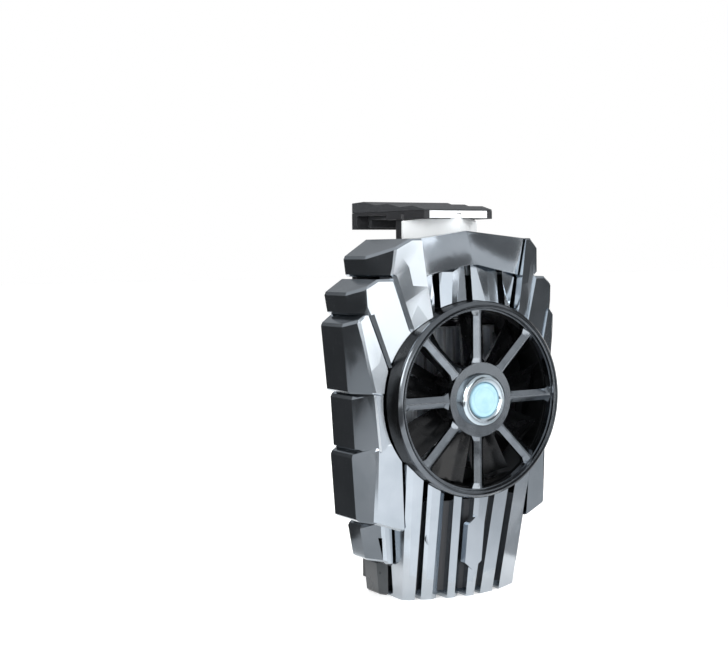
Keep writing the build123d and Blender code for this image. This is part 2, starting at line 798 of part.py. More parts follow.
rear_pad_half_width = plate_side / 2
rear_pad_height = 4.0
rear_pad_z = plate_side / 2 + rear_pad_height
rear_pads = [
    block(-rear_pad_half_width, rear_pad_half_width, 0, back_y, side * rear_pad_z, side * (rear_pad_z + rear_pad_height))
    for side in (-1, 1)
]
save(rear_pads, "rear_pads")

# Fan frame, motor and impeller
sleeve_r = shaft_r + bearing_gap + sleeve_wall
tube_inner_r = sleeve_r + press_gap
hub_inner_r = hub_r - hub_wall
magnet_outer_r = hub_inner_r - press_gap
magnet_inner_r = magnet_outer_r - magnet_thick
motor_floor_y = fan_y - motor_base_thick
board_ring_y = motor_floor_y - board_thick / 2
hub_front_wall = rotor_front_y + hub_wall
tube_front_y = hub_front_wall + 1.5 * hub_wall
duct = tube(duct_r + duct_wall, duct_r, fan_y, duct_front_y)
fan_frame = duct + rod(motor_base_r, fan_y, motor_floor_y) + rod(tube_r, fan_y, tube_front_y)
strut_count = 3
for strut in range(strut_count):
    arm = block(-strut_width / 2, strut_width / 2, fan_y, fan_y - strut_thick, motor_base_r - hub_wall / 2, duct_r + duct_wall / 2)
    fan_frame = fan_frame + Rot(0, (strut + 0.5) * 360 / strut_count, 0) * arm
for sx in (-1, 1):
    for sz in (-1, 1):
        ear = rod(fan_ear_r, fan_y, fan_y - fan_ear_thick, sx * fan_boss_xz, sz * fan_boss_xz)
        reach = duct_r / math.sqrt(2)
        bridge = block(-fan_ear_r * 0.8, fan_ear_r * 0.8, fan_y, fan_y - fan_ear_thick, duct_r + duct_wall / 2, fan_boss_xz * math.sqrt(2))
        ear = ear + Rot(0, 45 * sx * (1 if sz > 0 else 3), 0) * bridge
        fan_frame = fan_frame + ear
        fan_frame = fan_frame - rod(fan_screw_r, fan_y + over, fan_y - fan_ear_thick - over, sx * fan_boss_xz, sz * fan_boss_xz)
fan_frame = fan_frame - rod(tube_inner_r, fan_y - press_gap * 10, tube_front_y - over)
save(fan_frame, "fan_frame")

sleeve_rear_y = fan_y - 0.5 * motor_base_thick
save(tube(sleeve_r, shaft_r + bearing_gap, sleeve_rear_y, tube_front_y), "bearing_sleeve")
save(rod(shaft_r, sleeve_rear_y, rotor_front_y + hub_wall / 2), "rotor_shaft")
save(tube(motor_base_r - hub_wall, tube_r + press_gap, motor_floor_y, board_ring_y), "motor_board")

stator_rear_y = board_ring_y - slide_gap
stator_thick = 1.6
coil_overhang = 0.3
stator_r = magnet_inner_r - slide_gap
stator_bore_r = tube_r + press_gap
stator_ring_r = stator_bore_r + 0.6
stator = rod(stator_ring_r, stator_rear_y - coil_overhang, stator_rear_y - coil_overhang - stator_thick)
pole_width = 0.9
pole_shoe = 0.6
coils = []
for pole in range(pole_count):
    turn = Rot(0, pole * 360 / pole_count, 0)
    y0 = stator_rear_y - coil_overhang
    arm = block(-pole_width / 2, pole_width / 2, y0, y0 - stator_thick, stator_ring_r / 2, stator_r)
    shoe = (rod(stator_r, y0, y0 - stator_thick) - rod(stator_r - pole_shoe, over, -body_depth))
    shoe = shoe & block(-stator_r * 0.55, stator_r * 0.55, y0, y0 - stator_thick, 0, stator_r)
    stator = stator + turn * (arm + shoe)
    coil_low = stator_ring_r + seat_gap
    coil_high = stator_r - pole_shoe - 2 * seat_gap
    coil_half = pole_width / 2 + coil_overhang * 2
    coil = block(-coil_half, coil_half, y0 + coil_overhang, y0 - stator_thick - coil_overhang, coil_low, coil_high)
    coil = coil - block(
        -pole_width / 2 - press_gap, pole_width / 2 + press_gap, y0 + press_gap, y0 - stator_thick - press_gap,
        0, stator_r)
    coils.append(turn * coil)
stator = stator - rod(stator_bore_r, over, -body_depth)
save(stator, "stator_core")
save(coils, "stator_coils")
save(tube(magnet_outer_r, magnet_inner_r, blade_rear_y, hub_front_wall + press_gap), "rotor_magnet")

hub = rod(hub_r, blade_rear_y, rotor_front_y) - rod(hub_inner_r, blade_rear_y + over, hub_front_wall)
hub_boss = rod(2 * shaft_r, hub_front_wall, tube_front_y - slide_gap)
hub = hub + hub_boss - rod(shaft_r + press_gap / 2, blade_rear_y + over, rotor_front_y + hub_wall / 2)
blade_mid_y = (blade_rear_y + rotor_front_y) / 2


def blade_section(radius, chord, pitch):
    """Thin cambered blade section, level at the given radius."""
    half = chord / 2
    bow = chord * blade_camber / 4
    thick = blade_thick / 2
    points = [
        (-half, 0),
        (-half / 3, bow + thick),
        (half / 3, bow + thick),
        (half, 0),
        (half / 3, bow - thick),
        (-half / 3, bow - thick),
    ]
    face = make_face(Polyline(*points, close=True))
    return Pos(0, blade_mid_y, radius) * Rot(0, 0, pitch) * face


blade_stations = (
    (hub_r * 0.85, blade_root_chord, blade_root_pitch),
    ((hub_r + impeller_r) / 2, (blade_root_chord + blade_tip_chord) / 2, (blade_root_pitch + blade_tip_pitch) / 2),
    (impeller_r + over / 2, blade_tip_chord, blade_tip_pitch),
)
blade = loft([blade_section(*station) for station in blade_stations], ruled=True)
blade_room = tube(impeller_r, hub_r - hub_wall / 2, blade_rear_y, rotor_front_y)
blade = blade & blade_room
impeller = hub.fuse(*[Rot(0, index * 360 / blade_count, 0) * blade for index in range(blade_count)])
save(impeller, "impeller")

# Guard, ring and lamp
cup_wall = 1.2
cup_floor = 0.6
lens_r = 3.3
cap_r = 5.1
cap_stand = 1.65
cap_front_y = guard_front_y - cap_stand
led_board_thick = 0.6
led_side = 1.2
led_height = 0.25
led_count = 4
guard = tube(guard_rim_r, guard_rim_r - guard_rim_wall, guard_y, guard_front_y)
guard_cup_front_y = guard_front_y - seat_gap
guard_cup = rod(guard_hub_r, guard_y, guard_cup_front_y) - rod(cap_r - hub_wall / 2, guard_y - cup_floor, guard_cup_front_y - over)
guard = guard + guard_cup
spoke_inner_r = guard_hub_r - cup_wall / 2
spoke_outer_r = guard_rim_r - guard_rim_wall / 2
spoke_half = spoke_width / 2
foot_half = spoke_foot_width / 2
spoke_points = [
    (-foot_half, spoke_outer_r),
    (-spoke_half, spoke_outer_r - spoke_foot_reach),
    (-spoke_half, spoke_inner_r + spoke_foot_reach),
    (-foot_half, spoke_inner_r),
    (foot_half, spoke_inner_r),
    (spoke_half, spoke_inner_r + spoke_foot_reach),
    (spoke_half, spoke_outer_r - spoke_foot_reach),
    (foot_half, spoke_outer_r),
]
spoke = outline(spoke_points, guard_y, guard_front_y + spoke_rise)
ridge_points = [(x * spoke_ridge_share, z) for x, z in spoke_points]
spoke_low = Face(Wire.make_polygon([(x, guard_front_y + spoke_rise, z) for x, z in spoke_points]))
spoke_top = Face(Wire.make_polygon([(x, guard_front_y, z) for x, z in ridge_points]))
spoke = spoke + loft([spoke_low, spoke_top], ruled=True)
guard = guard.fuse(*[Rot(0, index * 360 / spoke_count, 0) * spoke for index in range(spoke_count)])
save(guard, "fan_guard")
led_board_y = guard_y - cup_floor - led_board_thick
save(rod(cap_r - hub_wall / 2 - seat_gap, guard_y - cup_floor, led_board_y), "led_board")
led_ring_r = lens_r - led_side
leds = []
for led in range(led_count):
    lamp = block(
        -led_side / 2, led_side / 2, led_board_y, led_board_y - led_height,
        led_ring_r - led_side / 2, led_ring_r + led_side / 2)
    leds.append(Rot(0, led * 360 / led_count, 0) * lamp)
save(leds, "leds")

cap_rear_y = guard_cup_front_y
cap_profile = make_face(Polyline(
    (lens_r + press_gap, cap_rear_y),
    (cap_r, cap_rear_y),
    (cap_r, cap_front_y + 2 * spoke_bevel),
    (cap_r - 2 * spoke_bevel, cap_front_y),
    (lens_r + spoke_bevel, cap_front_y),
    (lens_r + press_gap, cap_front_y + spoke_bevel),
    close=True,
))
save(revolve(cap_profile, Axis.Y, 360), "hub_bezel")
lens_dome = 0.25
lens_front_y = cap_front_y + spoke_bevel - lens_dome
lens_ball_r = (lens_r * lens_r + lens_dome * lens_dome) / (2 * lens_dome)
lens = rod(lens_r, cap_rear_y, lens_front_y) & Pos(0, lens_front_y + lens_ball_r, 0) * Sphere(lens_ball_r)
save(lens, "light_lens")

ring_clear_r = guard_rim_r + seat_gap
bezel_profile = make_face(Polyline(
    (ring_clear_r, ring_rear_y),
    (ring_r, ring_rear_y),
    (ring_r, trim_rear_y),
    (ring_clear_r, trim_rear_y),
    close=True,
))
save(revolve(bezel_profile, Axis.Y, 360), "bezel_ring")
trim_mid_r = (ring_r + ring_inner_r) / 2
guard_lip_y = guard_front_y - press_gap
trim_profile = make_face(Polyline(
    (ring_inner_r, guard_lip_y),
    (ring_clear_r, guard_lip_y),
    (ring_clear_r, trim_rear_y),
    (ring_r, trim_rear_y),
    (ring_r, trim_front_y + trim_groove),
    (ring_r - trim_groove / 3, trim_front_y + trim_groove / 3),
    (ring_r - trim_groove, trim_front_y),
    (trim_mid_r, trim_front_y),
    (trim_mid_r - trim_groove, trim_front_y + trim_groove),
    (ring_inner_r, trim_front_y + trim_groove),
    close=True,
))
save(revolve(trim_profile, Axis.Y, 360), "rim_trim")

# Upper jaw: the tongue, its ears, the stem's core and the hook are one moulding
tongue = block(
    -tongue_half_width, tongue_half_width, tongue_rear_y, tongue_front_y, tongue_low_z, hook_front_low_z + pad_lining)
ears = block(-ear_half_width, ear_half_width, tongue_rear_y, tongue_front_y, tongue_low_z, tongue_low_z + ear_height)
core_top_z = hook_front_low_z + seat_gap
core = stem_prism(-slide_gap, stem_skin + press_gap, stem_low_z, core_top_z)
phone_room = block(
    -body_half_width, body_half_width, -slide_gap, hook_rear_y - hook_lip_thick,
    phone_low_z, phone_high_z + pad_lining)


def hook_plan(y, inset):
    share = (y - hook_front_y) / (hook_rear_y - hook_front_y)
    return hook_front_half_width + share * (hook_rear_half_width - hook_front_half_width) - inset


def hook_slab(y0, y1, z0, z1, inset):
    wide0 = hook_plan(y0, inset)
    wide1 = hook_plan(y1, inset)
    points = [(-wide0, y0), (wide0, y0), (wide1, y1), (-wide1, y1)]
    return loft([section(points, z) for z in (z0, z1)], ruled=True)


trim_rear = hook_front_y + trim_thick
lip_low_z = phone_high_z - hook_lip_reach
plate = hook_slab(hook_front_y, hook_rear_y, hook_front_low_z, hook_plate_top_z, 0)
plate = plate - block(
    -trim_half_width - press_gap, trim_half_width + press_gap, trim_rear + press_gap, hook_front_y - over,
    hook_front_low_z - over, hook_plate_top_z + over)
lip = hook_slab(hook_rear_y - hook_lip_thick, hook_rear_y, lip_low_z, hook_plate_top_z, 0)
jaw = plate + lip + tongue + ears + core
jaw = jaw - phone_room
for side in (-1, 1):
    slot_in = side * (spring_x - spring_slot_width / 2)
    slot_out = side * (spring_x + spring_slot_width / 2)
    jaw = jaw - block(slot_in, slot_out, over, tongue_front_y - seat_gap, tongue_low_z - over, spring_top_z)
stem_skin_form = stem_prism(0, 0, stem_low_z, stem_ridge_top_z)
stem_skin_form = stem_skin_form - stem_prism(over, stem_skin, stem_low_z - over, stem_ridge_top_z + over)
stem_front = outline(
    [(-stem_half_width, stem_low_z), (stem_half_width, stem_low_z), (stem_half_width, stem_side_top_z),
     (0, stem_ridge_top_z), (-stem_half_width, stem_side_top_z)],
    tongue_front_y, -body_depth,
)
stem_cover = stem_skin_form & stem_front
stem_room = stem_prism(slide_gap, -press_gap, stem_low_z, stem_ridge_top_z + seat_gap)
stem_room = stem_room - stem_prism(over, stem_skin + press_gap, stem_low_z - over, stem_ridge_top_z + over)
jaw = jaw - stem_room
jaw = max(jaw.solids(), key=lambda solid: solid.volume)
save(jaw, "upper_jaw")
save(stem_cover, "jaw_stem_cover")
trim = block(
    -trim_half_width, trim_half_width, hook_front_y, trim_rear, core_top_z + press_gap, hook_plate_top_z)
trim = trim - stem_room
trim = max(trim.solids(), key=lambda solid: solid.volume)
save(trim, "jaw_trim")

# Soft cap with low grip ridges across its top
grip_steps = 2 * grip_bump_count
grip_length = hook_rear_y - hook_front_y
grip_profile = [(hook_front_y, hook_plate_top_z + press_gap), (hook_rear_y, hook_plate_top_z + press_gap)]
for step in range(grip_steps, -1, -1):
    along = step / grip_steps
    top = grip_front_top_z + along * (grip_rear_top_z - grip_front_top_z)
    top = top - (grip_bump if step % 2 == 0 else 0)
    grip_profile.append((hook_front_y + along * grip_length, top + grip_bump / 2))
grip_face = Face(Wire.make_polygon([(-body_half_width, y, z) for y, z in grip_profile]))
grip = extrude(grip_face, amount=2 * body_half_width, dir=(1, 0, 0))
grip = grip & hook_slab(hook_front_y, hook_rear_y, hook_plate_top_z + press_gap, grip_rear_top_z + over, 0)
save(grip, "jaw_grip")

lining_half = hook_front_half_width
upper_lining = block(
    -lining_half, lining_half, -slide_gap + press_gap, hook_rear_y - hook_lip_thick - press_gap,
    phone_high_z, phone_high_z + pad_lining - press_gap)
upper_lining = upper_lining + block(
    -lining_half, lining_half, phone_depth + press_gap, hook_rear_y - hook_lip_thick - press_gap,
    lip_low_z + slide_gap, phone_high_z)
save(upper_lining, "upper_jaw_pad")

# Return springs in the tongue's slots, hooked on the frame's posts
spring_low_z = spring_post_z + spring_post_r + seat_gap
springs = []
pins = []
spring_y = (tongue_rear_y + tongue_front_y) / 2
pin_z = spring_top_z - 2 * spring_post_r
for side in (-1, 1):
    coil_length = pin_z - spring_post_r - seat_gap - spring_low_z
    coil_z = spring_low_z + coil_length / 2
    coil = Pos(side * spring_x, spring_y, coil_z) * Cylinder(spring_outer_r, coil_length)
    coil = coil - Pos(side * spring_x, spring_y, coil_z) * Cylinder(spring_outer_r - spring_wire, coil_length + over)
    springs.append(coil)
    pins.append(Pos(side * spring_x, spring_y, pin_z) * Rot(0, 90, 0) * Cylinder(spring_post_r, spring_slot_width - seat_gap))
save(springs, "jaw_springs")
save(pins, "spring_pins")

# Lower jaw, fixed to the frame
leg_rear_y = frame_y - seat_gap
lower_floor_top_z = phone_low_z - pad_lining
lower = block(
    -lower_leg_half_width, lower_leg_half_width, leg_rear_y, leg_rear_y - lower_leg_thick + seat_gap,
    body_bottom_z, lower_leg_top_z)
lower = lower + block(
    -lower_leg_half_width, lower_leg_half_width, back_y + seat_gap, leg_rear_y, body_bottom_z, lower_floor_top_z - 2 * seat_gap)
lower = lower + block(-lower_half_width, lower_half_width, hook_rear_y, back_y + seat_gap, body_bottom_z, lower_floor_top_z)
lower = lower + block(
    -lower_half_width, lower_half_width, hook_rear_y - hook_lip_thick, hook_rear_y, body_bottom_z, lower_lip_top_z)
lower = lower - block(
    -board_half_width, board_half_width, leg_rear_y - lower_leg_thick / 2, leg_rear_y - lower_leg_thick - over,
    body_bottom_z + wall, lower_leg_top_z + over)
for side in (-1, 1):
    lower = lower - rod(cover_screw_r, over, leg_rear_y - lower_leg_thick - over, side * lower_screw_x, lower_screw_z)
lower = max(lower.solids(), key=lambda solid: solid.volume)
save(lower, "lower_jaw")
lower_lining = block(
    -lower_half_width + wall, lower_half_width - wall, 0, hook_rear_y - hook_lip_thick - press_gap,
    phone_low_z, lower_floor_top_z + press_gap)
lower_lining = lower_lining + block(
    -lower_half_width + wall, lower_half_width - wall, phone_depth + press_gap, hook_rear_y - hook_lip_thick - press_gap,
    phone_low_z, lower_lip_top_z - slide_gap)
save(lower_lining, "lower_jaw_pad")

# Control board with its parts and the power inlet
board = block(-board_half_width, board_half_width, board_y, board_y - board_thick, board_low_z, board_top_z)
save(board, "control_board")
face_y = board_y - board_thick
chip_side = 5.0
chip_height = 0.9
coil_side = 4.2
coil_height = 2.4
cap_side = 1.6
board_parts = [
    block(-chip_side - seat_gap, -seat_gap, face_y, face_y - chip_height, board_post_z - chip_side, board_post_z),
    block(coil_side / 2, coil_side * 1.5, face_y, face_y - coil_height, board_post_z - coil_side, board_post_z),
    block(-chip_side, -chip_side + cap_side, face_y, face_y - chip_height, board_post_z + seat_gap * 5, board_post_z + cap_side),
    block(coil_side / 2, coil_side / 2 + cap_side, face_y, face_y - chip_height, board_post_z + seat_gap * 5, board_post_z + cap_side),
]
save(board_parts, "board_parts")
port_y = face_y - port_depth / 2 - press_gap
port_centre_z = port_low_z + port_length / 2
shell_form = Pos(0, port_y, port_centre_z) * Box(port_width, port_depth, port_length)
shell_form = fillet(shell_form.edges().filter_by(Axis.Z), port_round)
shell_room = Pos(0, port_y, port_centre_z - port_wall) * Box(port_width - 2 * port_wall, port_depth - 2 * port_wall, port_length)
shell_room = fillet(shell_room.edges().filter_by(Axis.Z), port_round - port_wall)
contact_bar = Pos(0, port_y, port_centre_z + port_wall) * Box(port_width - 2 * port_round, port_tongue, port_length - 4 * port_wall)
save(shell_form - shell_room + contact_bar, "usb_c_port")
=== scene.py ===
import json
import math

import bmesh
import bpy
from mathutils import Matrix, Vector


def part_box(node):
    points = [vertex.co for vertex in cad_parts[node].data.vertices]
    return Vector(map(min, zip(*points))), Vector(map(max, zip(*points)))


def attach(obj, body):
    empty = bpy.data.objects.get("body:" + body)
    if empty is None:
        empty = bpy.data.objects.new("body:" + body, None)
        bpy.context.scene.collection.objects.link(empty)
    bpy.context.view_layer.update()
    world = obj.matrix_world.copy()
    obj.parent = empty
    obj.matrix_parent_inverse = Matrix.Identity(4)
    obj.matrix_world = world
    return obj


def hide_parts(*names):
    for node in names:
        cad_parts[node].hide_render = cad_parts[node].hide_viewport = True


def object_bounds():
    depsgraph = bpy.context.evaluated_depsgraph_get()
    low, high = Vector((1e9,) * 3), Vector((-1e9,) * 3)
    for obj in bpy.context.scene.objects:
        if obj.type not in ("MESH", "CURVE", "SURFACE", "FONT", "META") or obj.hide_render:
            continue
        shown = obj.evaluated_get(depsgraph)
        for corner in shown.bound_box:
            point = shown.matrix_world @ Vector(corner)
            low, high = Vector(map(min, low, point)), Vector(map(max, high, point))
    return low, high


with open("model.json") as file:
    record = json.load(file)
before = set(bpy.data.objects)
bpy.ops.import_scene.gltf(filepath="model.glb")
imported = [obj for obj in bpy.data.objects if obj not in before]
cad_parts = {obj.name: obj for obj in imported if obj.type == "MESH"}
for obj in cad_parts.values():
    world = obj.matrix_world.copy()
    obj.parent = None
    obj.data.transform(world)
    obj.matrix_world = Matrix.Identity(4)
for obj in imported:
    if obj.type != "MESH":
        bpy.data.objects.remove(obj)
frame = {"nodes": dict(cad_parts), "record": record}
cad_low, cad_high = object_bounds()

# The camera looks at the cooler's front left from a little above its middle,
# with a long lens, as a product photographer would set it up.
MM = 0.001
camera_place = Vector((-157.46, -232.52, 28.51)) * MM
camera_yaw = math.radians(31.5435)
camera_pitch = math.radians(3.1471)
camera_roll = math.radians(-0.5533)
camera_lens = 68.08
look = Vector((
    math.sin(camera_yaw) * math.cos(camera_pitch),
    math.cos(camera_yaw) * math.cos(camera_pitch),
    -math.sin(camera_pitch),
))
level = Vector((math.cos(camera_yaw), -math.sin(camera_yaw), 0))
upright = level.cross(look)
right_way = math.cos(camera_roll) * level + math.sin(camera_roll) * upright
up_way = math.cos(camera_roll) * upright - math.sin(camera_roll) * level
camera_data = bpy.data.cameras.new("camera")
camera_data.lens = camera_lens
camera_data.sensor_width = 36
camera_data.clip_start = 0.01
camera = bpy.data.objects.new("camera", camera_data)
bpy.context.scene.collection.objects.link(camera)
camera_turn = Matrix((right_way, up_way, -look)).transposed().to_4x4()
camera.matrix_world = Matrix.Translation(camera_place) @ camera_turn
bpy.context.scene.camera = camera

# The table is a pale sheet under the cooler. To the eye and in reflections it
# fades into a white room, and it keeps the shadow that the cooler throws.


def linear(colour):
    """sRGB hex value as linear red, green, blue and alpha."""
    parts = [int(colour[i:i + 2], 16) / 255 for i in (1, 3, 5)]
    return tuple(c / 12.92 if c <= 0.04045 else ((c + 0.055) / 1.055) ** 2.4 for c in parts) + (1.0,)


def node(tree, kind, settings=None, **inputs):
    """Adds one node with its settings. An input is a value, or another node's output."""
    made = tree.nodes.new(kind)
    for name, value in (settings or {}).items():
        setattr(made, name, value)
    for name, value in inputs.items():
        place = int(name[1:]) if name[0] == "i" and name[1:].isdigit() else name.replace("_", " ")
        if isinstance(value, bpy.types.NodeSocket):
            tree.links.new(value, made.inputs[place])
        else:
            made.inputs[place].default_value = value
    return made


def looked_at(tree):
    """1 where the eye, a reflection or clear plastic looks, else 0."""
    path = node(tree, "ShaderNodeLightPath")
    eye = node(tree, "ShaderNodeMath", {"operation": "MAXIMUM"},
               i0=path.outputs["Is Camera Ray"], i1=path.outputs["Is Glossy Ray"])
    either = node(tree, "ShaderNodeMath", {"operation": "MAXIMUM"},
                  i0=eye.outputs[0], i1=path.outputs["Is Transmission Ray"])
    return either.outputs[0]


room_light = 0.62
table_glow = 0.42
table_size = 6.0
world = bpy.data.worlds.new("white_room")
world.use_nodes = True
bpy.context.scene.world = world
tree = world.node_tree
tree.nodes.clear()
room_strength = node(tree, "ShaderNodeMapRange", Value=looked_at(tree), To_Min=room_light, To_Max=1.0)
room = node(tree, "ShaderNodeBackground", Color=linear("#FFFFFF"), Strength=room_strength.outputs[0])
tree.links.new(room.outputs[0], node(tree, "ShaderNodeOutputWorld").inputs["Surface"])

bpy.ops.object.select_all(action="DESELECT")
bpy.ops.mesh.primitive_grid_add(x_subdivisions=8, y_subdivisions=8, size=table_size,
                                location=(0, 0, cad_low.z))
table = bpy.context.object
table.name = "table"
paper = bpy.data.materials.new("white_paper")
paper.use_nodes = True
tree = paper.node_tree
tree.nodes.clear()
table_strength = node(tree, "ShaderNodeMath", {"operation": "MULTIPLY"}, i0=looked_at(tree), i1=table_glow)
sheet = node(tree, "ShaderNodeBsdfPrincipled", Base_Color=linear("#F2F2F2"), Roughness=0.85,
             Emission_Color=linear("#FFFFFF"), Emission_Strength=table_strength.outputs[0])
tree.links.new(sheet.outputs[0], node(tree, "ShaderNodeOutputMaterial").inputs["Surface"])
table.data.materials.append(paper)

# Soft boxes light the cooler from its front, upper left, top and right. Grey and
# black cards stand and lie round it, as round any plated product, so that each
# facet has something of its own to mirror.


def facing(place):
    """Object matrix of a flat thing at a place that faces the fan's middle."""
    forward = (-Vector(place)).normalized()
    turn = forward.to_track_quat("-Z", "Y").to_matrix().to_4x4()
    return Matrix.Translation(Vector(place)) @ turn


# Soft boxes: name, place, width, height, power and whether reflections see it
soft_boxes = (
    ("front_box", (-0.20, -0.58, 0.14), 0.46, 0.42, 1.12, True),
    ("left_box", (-0.52, -0.20, 0.30), 0.16, 0.36, 1.5, True),
    ("top_box", (0.05, 0.10, 0.62), 0.50, 0.50, 1.5, True),
    ("right_fill", (0.50, -0.34, 0.22), 0.30, 0.30, 2.6, False),
)
for name, place, wide, tall, power, mirrored in soft_boxes:
    lamp = bpy.data.lights.new(name, "AREA")
    lamp.shape = "RECTANGLE"
    lamp.size = wide
    lamp.size_y = tall
    lamp.energy = power
    box = bpy.data.objects.new(name, lamp)
    bpy.context.scene.collection.objects.link(box)
    box.matrix_world = facing(place)
    box.visible_camera = False
    box.visible_glossy = mirrored


def card(name, matrix, wide, tall, glows, axis="Y"):
    """Card that only reflections see. It fades from one edge to the other along an axis."""
    bpy.ops.object.select_all(action="DESELECT")
    bpy.ops.mesh.primitive_grid_add(x_subdivisions=4, y_subdivisions=4, size=1.0)
    sheet = bpy.context.object
    sheet.name = name
    sheet.matrix_world = matrix @ Matrix.Diagonal((wide, tall, 1, 1))
    board = bpy.data.materials.new(name + "_board")
    board.use_nodes = True
    tree = board.node_tree
    tree.nodes.clear()
    spot = node(tree, "ShaderNodeSeparateXYZ", Vector=node(tree, "ShaderNodeTexCoord").outputs["Object"])
    glow = node(tree, "ShaderNodeMapRange", Value=spot.outputs[axis], From_Min=-0.5, From_Max=0.5,
                To_Min=glows[0], To_Max=glows[1])
    lit = node(tree, "ShaderNodeEmission", Color=linear("#F8FBFF"), Strength=glow.outputs[0])
    tree.links.new(lit.outputs[0], node(tree, "ShaderNodeOutputMaterial").inputs["Surface"])
    sheet.data.materials.append(board)
    sheet.visible_camera = False
    sheet.visible_diffuse = False
    sheet.visible_shadow = False
    sheet.visible_transmission = False


# Standing cards: name, bearing from the front towards the right and height above
# the table's horizon in degrees, distance, width, height, glow at the foot and head
standing = (
    ("front_left_card", -48, 12, 0.70, 0.30, 0.50, 1.9, 1.5),
    ("front_bright_card", 7, 15, 0.58, 0.10, 0.24, 2.0, 2.2),
    ("front_right_dark", 24.5, 14, 0.60, 0.235, 0.52, 0.16, 0.18),
    ("side_bright_card", 53, 3, 0.56, 0.075, 0.14, 2.5, 2.5),
    ("front_right_card", 47, 12, 0.62, 0.26, 0.50, 0.86, 0.86),
    ("right_dark", 88, 10, 0.56, 0.62, 0.50, 0.11, 0.15),
    ("left_dark", -106, 4, 0.62, 0.56, 0.52, 0.05, 0.10),
    ("back_left_dark", -149, 2, 0.70, 0.64, 0.48, 0.04, 0.08),
    ("upper_left_card", -137, 38, 0.62, 0.34, 0.20, 0.60, 0.70),
)
for name, bearing, height, distance, wide, tall, low_glow, high_glow in standing:
    turn = math.radians(bearing)
    lift = math.radians(height)
    outward = Vector((math.sin(turn) * math.cos(lift), -math.cos(turn) * math.cos(lift), math.sin(lift)))
    card(name, facing(outward * distance), wide, tall, (low_glow, high_glow))
ceiling_place = (0, 0.20, 0.45)
ceiling_size = 2.2
card("ceiling", Matrix.Translation(ceiling_place), ceiling_size, ceiling_size, (1.15, 0.12))

# Lying cards: name, left, right, front and back edge, glows and the axis they fade along
card_lift = 0.3 * MM
lying = (
    ("left_table_card", -0.60, -0.026, -0.019, 0.022, (0.62, 0.42), "Y"),
    ("back_left_table_dark", -0.60, -0.026, 0.022, 0.60, (0.06, 0.05), "Y"),
    ("front_left_table_card", -0.085, -0.034, -0.085, -0.020, (1.75, 1.75), "Y"),
    ("groove_table_card", -0.30, -0.086, -0.30, -0.020, (0.30, 0.30), "Y"),
    ("front_table_card", -0.032, 0.055, -0.35, -0.0205, (1.85, 0.65), "X"),
    ("front_right_table_card", 0.056, 0.60, -0.35, -0.0205, (0.62, 0.40), "X"),
    ("right_table_card", 0.026, 0.60, -0.020, 0.30, (0.55, 0.45), "X"),
)
for name, left, right, front, back, glows, axis in lying:
    middle = Vector(((left + right) / 2, (front + back) / 2, cad_low.z + card_lift))
    card(name, Matrix.Translation(middle), right - left, back - front, glows, axis)
bpy.context.scene.view_settings.view_transform = "Standard"

# The side covers, crown and column are injection-moulded ABS with a satin
# gunmetal electroplating. Each is one moulding with crisp, slightly rounded
# edges, so a copy of the CAD shape is merged and gets those edges.


def principled(material_name):
    """New material with its tree and its main shader."""
    material = bpy.data.materials.new(material_name)
    material.use_nodes = True
    tree = material.node_tree
    tree.nodes.clear()
    shader = node(tree, "ShaderNodeBsdfPrincipled")
    tree.links.new(shader.outputs[0], node(tree, "ShaderNodeOutputMaterial").inputs["Surface"])
    return material, tree, shader


def follow(tree, shader, value, colours, roughness, relief_mm=0.0):
    """Lets the colour, the roughness and a relief of real height follow one value."""
    colour = node(tree, "ShaderNodeMix", {"data_type": "RGBA"},
                  i0=value, i6=linear(colours[0]), i7=linear(colours[1]))
    tree.links.new(colour.outputs[2], shader.inputs["Base Color"])
    rough = node(tree, "ShaderNodeMapRange", Value=value, To_Min=roughness[0], To_Max=roughness[1])
    tree.links.new(rough.outputs[0], shader.inputs["Roughness"])
    if relief_mm:
        bump = node(tree, "ShaderNodeBump", Height=value, Strength=1.0, Distance=relief_mm * MM)
        tree.links.new(bump.outputs[0], shader.inputs["Normal"])


def speckled(material_name, lump_mm, colours, roughness, relief_mm=0.0, stretch=(1, 1, 1),
             metal=0.0, specular=0.5):
    """Finish whose lumps are a real size apart on the object."""
    material, tree, shader = principled(material_name)
    shader.inputs["Metallic"].default_value = metal
    shader.inputs["Specular IOR Level"].default_value = specular
    place = node(tree, "ShaderNodeTexCoord").outputs["Object"]
    scaled = node(tree, "ShaderNodeMapping", Vector=place, Scale=stretch)
    lumps = node(tree, "ShaderNodeTexNoise", Vector=scaled.outputs[0], Scale=1 / (lump_mm * MM), Detail=3.0)
    spread = node(tree, "ShaderNodeMapRange", Value=lumps.outputs["Fac"], From_Min=0.3, From_Max=0.7)
    follow(tree, shader, spread.outputs[0], colours, roughness, relief_mm)
    return material


# Electroplated ABS: chrome over a smooth moulding, dimmed to gunmetal. The
# plating has slight differences in its sheen.
gunmetal = speckled("gunmetal_plated_abs", 7.0, ("#A2A9AF", "#AEB4BA"), (0.13, 0.18), metal=1.0)

merge_distance = 0.004 * MM


def copied(node_name, flat=0.6):
    """Copy of a CAD node's mesh, merged into faces that are flat to so many degrees."""
    piece = bpy.data.objects.new("dressed_" + node_name, frame["nodes"][node_name].data.copy())
    bpy.context.scene.collection.objects.link(piece)
    bpy.ops.object.select_all(action="DESELECT")
    piece.select_set(True)
    bpy.context.view_layer.objects.active = piece
    bpy.ops.object.mode_set(mode="EDIT")
    bpy.ops.mesh.select_all(action="SELECT")
    bpy.ops.mesh.remove_doubles(threshold=merge_distance)
    bpy.ops.mesh.dissolve_limited(angle_limit=math.radians(flat))
    bpy.ops.object.mode_set(mode="OBJECT")
    return piece


